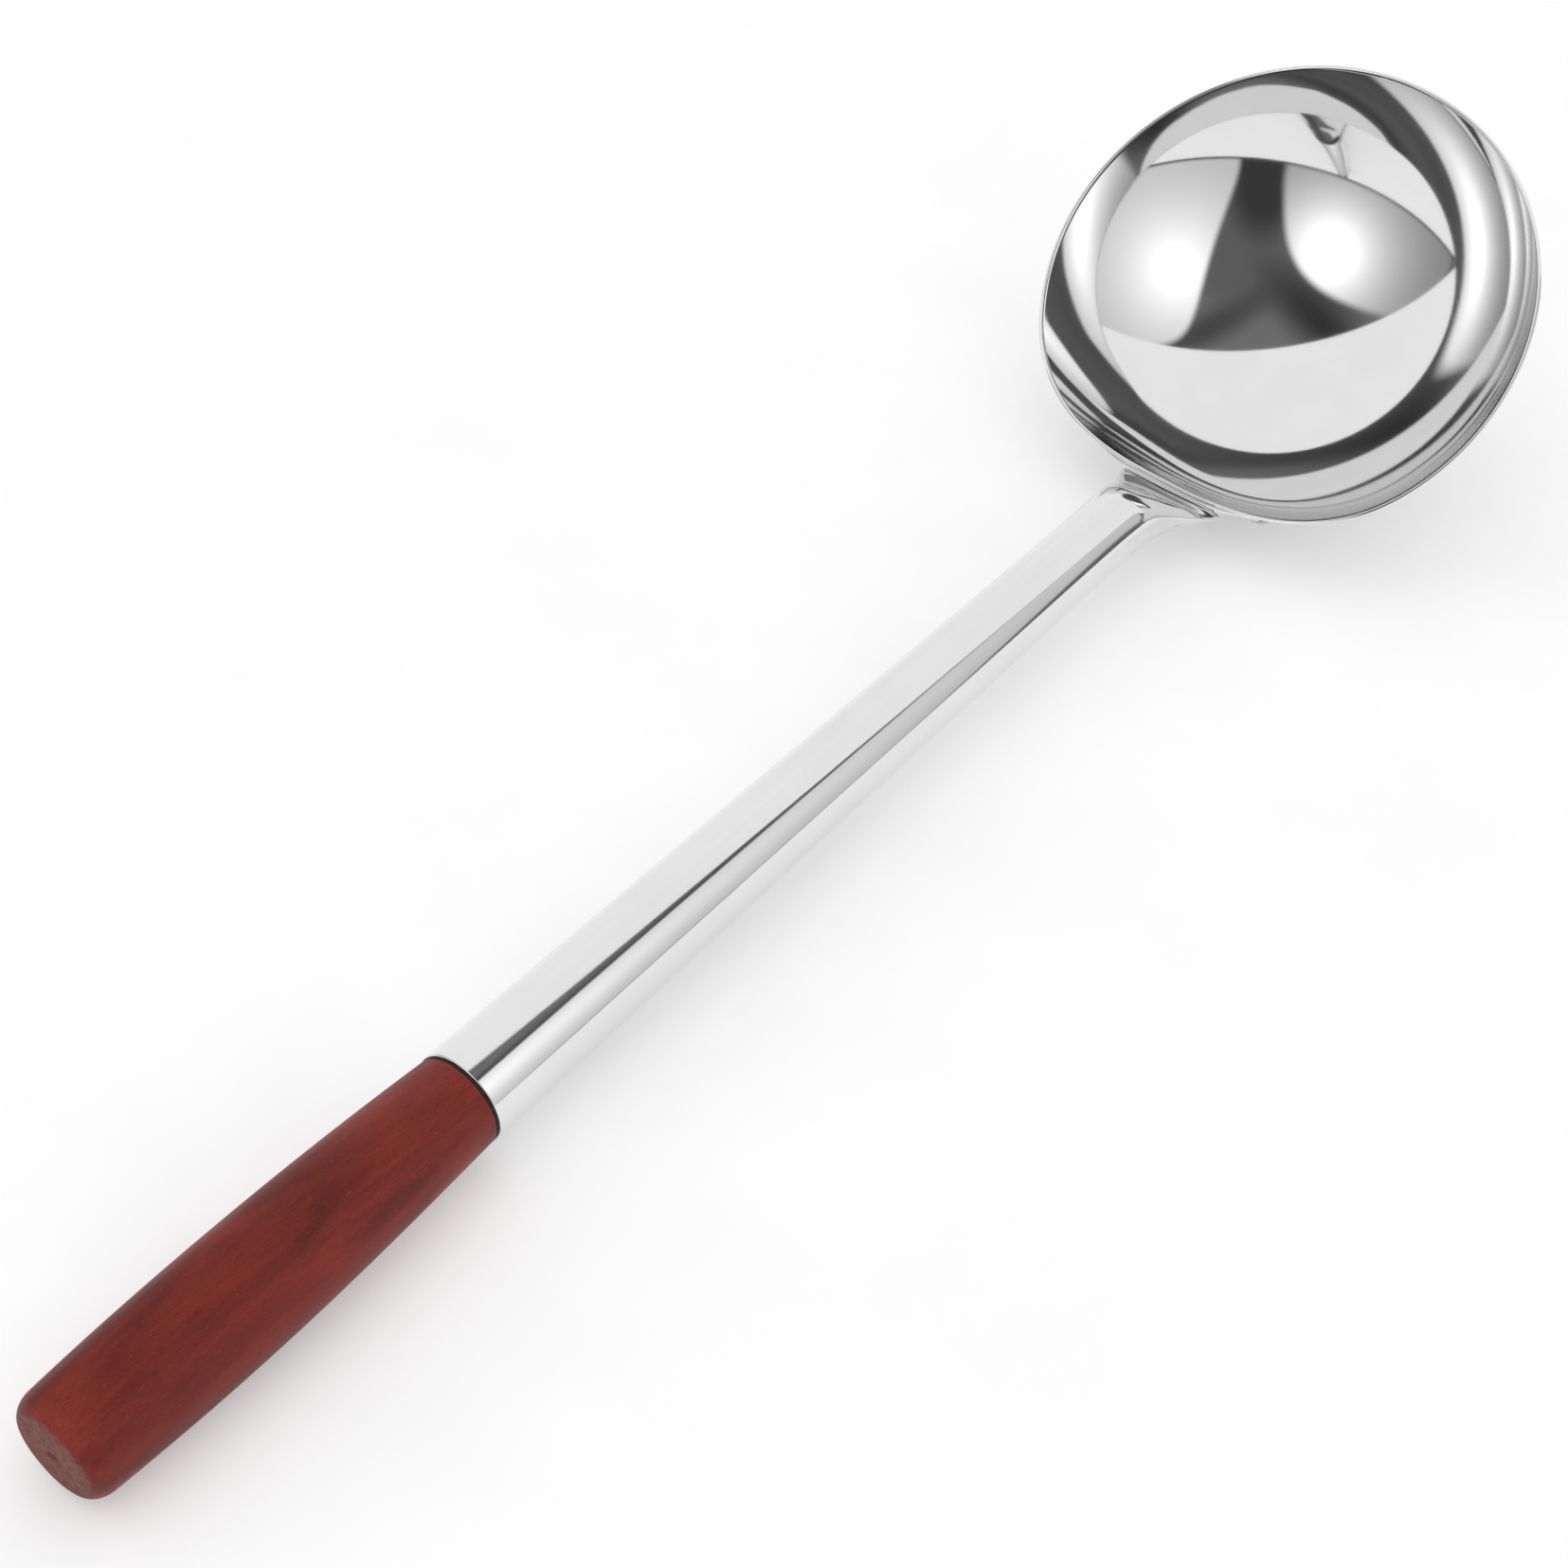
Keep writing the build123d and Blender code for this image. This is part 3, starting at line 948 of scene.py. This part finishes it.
# Softboxes: their outlines, then their hot spots
SOFTBOXES = (
    (
        dict(place=(-17.0, 5.5), half_size=(39.5, 37.0), softness=0.07, corner=2.7, turned=17.0),
        dict(place=(-4.0, 29.0), peak=2.4, edge=0.22, spread=17.0),
    ),
    (
        dict(place=(85.0, 16.0), half_size=(34.0, 47.0), softness=0.06, corner=4.0, turned=-38.0),
        dict(place=(75.0, 40.0), peak=1.7, edge=0.48, spread=24.0),
    ),
)


def room_light():
    """The dark room on the camera's side and its two softboxes, by direction from the bowl."""
    material, tree, color = emitter("room_light")
    place = tree.nodes.new("ShaderNodeTexCoord").outputs["Object"]
    node = tree.nodes.new("ShaderNodeVectorMath")
    node.operation = "NORMALIZE"
    tree.links.new(place, node.inputs[0])
    vector = node.outputs["Vector"]
    light = (DARK_ROOM,) * 3
    for patch, half_size, softness, value in ROOM_PATCHES:
        mask = panel_mask(tree, vector, patch, half_size, softness)
        light = mixed(tree, mask, light, (value,) * 3)
    for outline, lamp in SOFTBOXES:
        mask = panel_mask(tree, vector, **outline)
        light = mixed(tree, mask, light, hot_spot(tree, vector, **lamp))
    # A dark line between the table's edge and the softboxes
    level = combine(tree, "ADD", dotted(tree, vector, (0, 0, 1)), 0.06)
    gap = ranged(tree, combine(tree, "ABSOLUTE", level, 0.0), 0.02, 0.045, 1.0, 0.0, smooth=True)
    light = mixed(tree, gap, light, (0.10,) * 3)
    tree.links.new(light, color)
    return material


def sweep_light():
    """The pale paper sweep behind the ladle."""
    material, tree, color = emitter("sweep_light")
    place = tree.nodes.new("ShaderNodeTexCoord").outputs["Object"]
    cloudy = noise(tree, place, 6.0, 2.0, 0.5)
    tree.links.new(ramp(tree, cloudy, ((0.3, (0.955,) * 3), (0.7, (1.0,) * 3))), color)
    return material


SHELL_OPENING = (41.8, -21.9)  # azimuth and elevation of the middle of the shells' openings
SHELL_DROP = -20.0  # from the rim's centre to the shells' centre
ROOM_RADIUS = 0.62
ROOM_OPEN_ANGLE = math.radians(0.5)  # all but closed
SWEEP_RADIUS = 0.40
SWEEP_OPEN_ANGLE = math.radians(101.0)


def make_shell(name, radius, open_angle, material):
    """Part of a sphere about the bowl, open towards the camera's side within open_angle.

    Only reflections see it, as they would the walls and lamps of a studio.
    """
    count = 128
    rows = 48
    axis = -direction(*SHELL_OPENING)
    side = axis.orthogonal().normalized()
    other = axis.cross(side)
    points = [axis * radius]
    for row in range(1, rows + 1):
        polar = (math.pi - open_angle) * row / rows
        for i in range(count):
            around = 2 * math.pi * i / count
            sideways = side * math.cos(around) + other * math.sin(around)
            points.append((axis * math.cos(polar) + sideways * math.sin(polar)) * radius)
    faces = [(0, 1 + i, 1 + (i + 1) % count) for i in range(count)]
    for row in range(rows - 1):
        base = 1 + row * count
        for i in range(count):
            j = (i + 1) % count
            faces.append((base + i, base + count + i, base + count + j, base + j))
    shell = new_object(name, [tuple(point) for point in points], faces, material)
    shell.location = to_row([[0.0, 0.0, SHELL_DROP]])[0]
    shell.visible_camera = False
    shell.visible_diffuse = False
    shell.visible_shadow = False


def make_studio():
    world = bpy.data.worlds.new("studio")
    bpy.context.scene.world = world
    world.use_nodes = True
    background = world.node_tree.nodes["Background"]
    background.inputs["Color"].default_value = (0.97, 0.97, 0.97, 1.0)
    make_shell("studio_room", ROOM_RADIUS, ROOM_OPEN_ANGLE, room_light())
    make_shell("studio_sweep", SWEEP_RADIUS, SWEEP_OPEN_ANGLE, sweep_light())


def make_floor():
    """Table top, at the lowest point of the finished ladle."""
    reach = 4.0
    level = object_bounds()[0][2]
    sides = [(-reach, -reach), (reach, -reach), (reach, reach), (-reach, reach)]
    corners = [(x, y, level) for x, y in sides]
    new_object("table_top", corners, [(0, 1, 2, 3)], table_paper())


def make_fill_light():
    """Overhead fill that only the matt surfaces see."""
    data = bpy.data.lights.new("fill", "SUN")
    data.energy = 0.25
    data.angle = math.radians(60.0)
    lamp = bpy.data.objects.new("fill", data)
    lamp.visible_glossy = False
    bpy.context.scene.collection.objects.link(lamp)


CAMERA_PLACE = (38.66, 45.37)  # azimuth and elevation, seen from the point it looks at
CAMERA_DISTANCE = 0.6745
CAMERA_ROLL = math.radians(1.02)
CAMERA_LENS = 70.8
AIM_FROM_MIDDLE = (-0.7, -14.6, 0.0)  # from the middle of the CAD box's floor, in millimetres


def make_camera():
    """The studio camera: about 45 degrees above the table, to the right of the grip."""
    low, high = cad_bounds
    middle = Vector(((low[0] + high[0]) / 2, (low[1] + high[1]) / 2, low[2]))
    aim = middle + Vector(AIM_FROM_MIDDLE) * MM
    view = direction(*CAMERA_PLACE)
    data = bpy.data.cameras.new("studio_camera")
    data.sensor_width = 36.0
    data.lens = CAMERA_LENS
    data.clip_end = 20.0
    camera = bpy.data.objects.new("studio_camera", data)
    rotation = view.to_track_quat("Z", "Y").to_matrix()
    roll = Matrix.Rotation(CAMERA_ROLL, 3, "Z")
    camera.matrix_world = (rotation @ roll).to_4x4()
    camera.location = aim + view * CAMERA_DISTANCE
    bpy.context.scene.collection.objects.link(camera)
    bpy.context.scene.camera = camera


# ---------------------------------------------------------------- assembly


def settle(points):
    """Shift that stands the turned bowl where the CAD bowl stands."""
    turned = to_row(points)
    low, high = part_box("bowl")
    return np.array([low[0] - turned[:, 0].min(), 0.0, high[2] - turned[:, 2].max()])


bowl_skin, bowl_azimuth = bowl_rings()
rest_shift = settle(bowl_skin.reshape(-1, 3))
mirror = polished_steel("mirror_steel", (6.0, 0.25, 0.25), (0.035, 0.07), 0.0006)
drawn = polished_steel("polished_tube_steel", (0.02, 2.0, 2.0), (0.07, 0.105), 0.0009)
welded = weld_steel()
wood = stained_wood()
glue = black_glue()
pin_steel = polished_steel("pin_steel", (2.5, 2.5, 2.5), (0.20, 0.32), 0.004)

for piece, node, slot in (
    (make_bowl(bowl_skin, bowl_azimuth, mirror), "bowl", "mirror_steel"),
    (make_handle_tube(drawn), "handle_tube", "polished_tube_steel"),
    (make_neck_weld(welded), "neck_weld", "weld_steel"),
    (make_seam_weld(welded), "tube_seam_weld", "weld_steel"),
    (make_grip(wood), "wood_grip", "stained_wood"),
    (make_glue(glue), "grip_adhesive", "black_glue"),
    (make_pin(pin_steel), "grip_pin", "pin_steel"),
):
    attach(piece, "root")
    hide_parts(node)

lips = make_lips(drawn)
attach(lips, "root")

make_floor()
make_studio()
make_fill_light()
make_camera()
bpy.context.scene.view_settings.view_transform = "Standard"
bpy.context.scene.cycles.glossy_bounces = 10  # light is reflected many times inside the bowl
